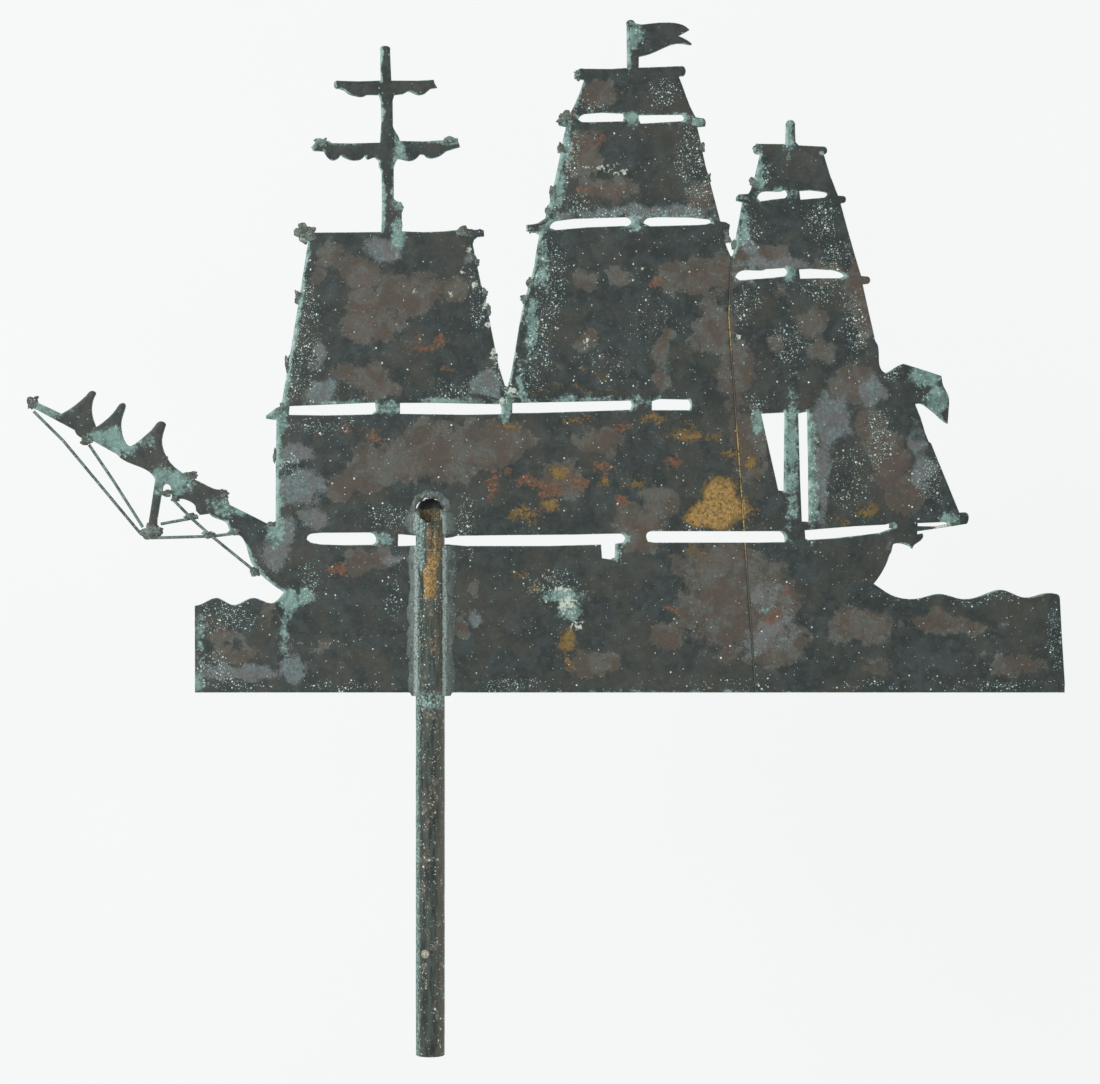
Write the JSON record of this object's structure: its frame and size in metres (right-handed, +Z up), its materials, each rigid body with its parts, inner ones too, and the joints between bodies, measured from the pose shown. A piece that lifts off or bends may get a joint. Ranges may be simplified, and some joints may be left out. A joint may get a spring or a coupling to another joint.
{
  "type": "weather vane",
  "caption": "Weather vane cut from sheet copper as a sailing ship on a strip of sea, soldered to a copper tube that turns on a fixed steel spindle.",
  "frame": {"origin": "on the turning axis, at the foot of the spindle, in the mouth of its threaded hole and level with the tube's open lower end", "axes": "+Z up along the spindle and tube, +X from the bow towards the stern in the plane of the sheets, +Y square to the sheets away from the side on which the tube's slanted mouth faces"},
  "size_m": [0.7951, 0.0236, 0.7929],
  "materials": {
    "sheet_copper": "sheet copper weathered to dark brown and black with verdigris",
    "tube_copper": "drawn copper tube, tarnished brown with ochre and grey-green streaks",
    "wire_copper": "copper wire with a grey-green patina",
    "solder": "hand-laid soft solder, dull grey",
    "braze": "filed brass braze, tarnished gold",
    "steel": "turned steel, lightly oiled",
    "pin_steel": "steel pin with a dull cream head",
    "bronze": "turned bearing bronze"
  },
  "bodies": {
    "spindle": {"spindle_rod": "steel"},
    "vane": {"spindle_tube": "tube_copper", "pivot_plug": "steel", "lower_bush": "bronze", "bush_pin": "pin_steel", "fore_sheet": "sheet_copper", "after_sheet": "sheet_copper", "seam_braze": "braze", "tube_solder_front_left": "solder", "tube_solder_front_right": "solder", "tube_solder_back_left": "solder", "tube_solder_back_right": "solder", "arch_solder": "solder", "outer_stay_wire": "wire_copper", "inner_stay_wire": "wire_copper", "backrope_wire": "wire_copper", "cross_stay_wire": "wire_copper", "stay_tip_solder": "solder", "inner_stay_solder": "solder", "martingale_solder": "solder", "bowsprit_eye_solder": "solder", "cross_stay_head_solder": "solder", "upper_crossing_solder": "solder", "lower_crossing_solder": "solder", "hull_stay_solder": "solder", "cross_stay_foot_solder": "solder", "bowsprit_rigging_solder": "solder", "fore_rigging_solder": "solder", "main_rigging_solder": "solder", "mizzen_rigging_solder": "solder"},
    "ball": {"thrust_ball": "steel"}
  },
  "joints": [
    {"name": "vane_turn", "type": "hinge", "parent": "spindle", "child": "vane", "pos_m": [0, 0, 0], "axis": [0, 0, 1], "continuous": true},
    {"name": "ball_turn", "type": "hinge", "parent": "spindle", "child": "ball", "pos_m": [0, 0, 0.377], "axis": [0, 0, 1], "continuous": true}
  ],
  "couplings": [
    {"joint": "ball_turn", "follows": "vane_turn", "ratio": 0.5}
  ]
}
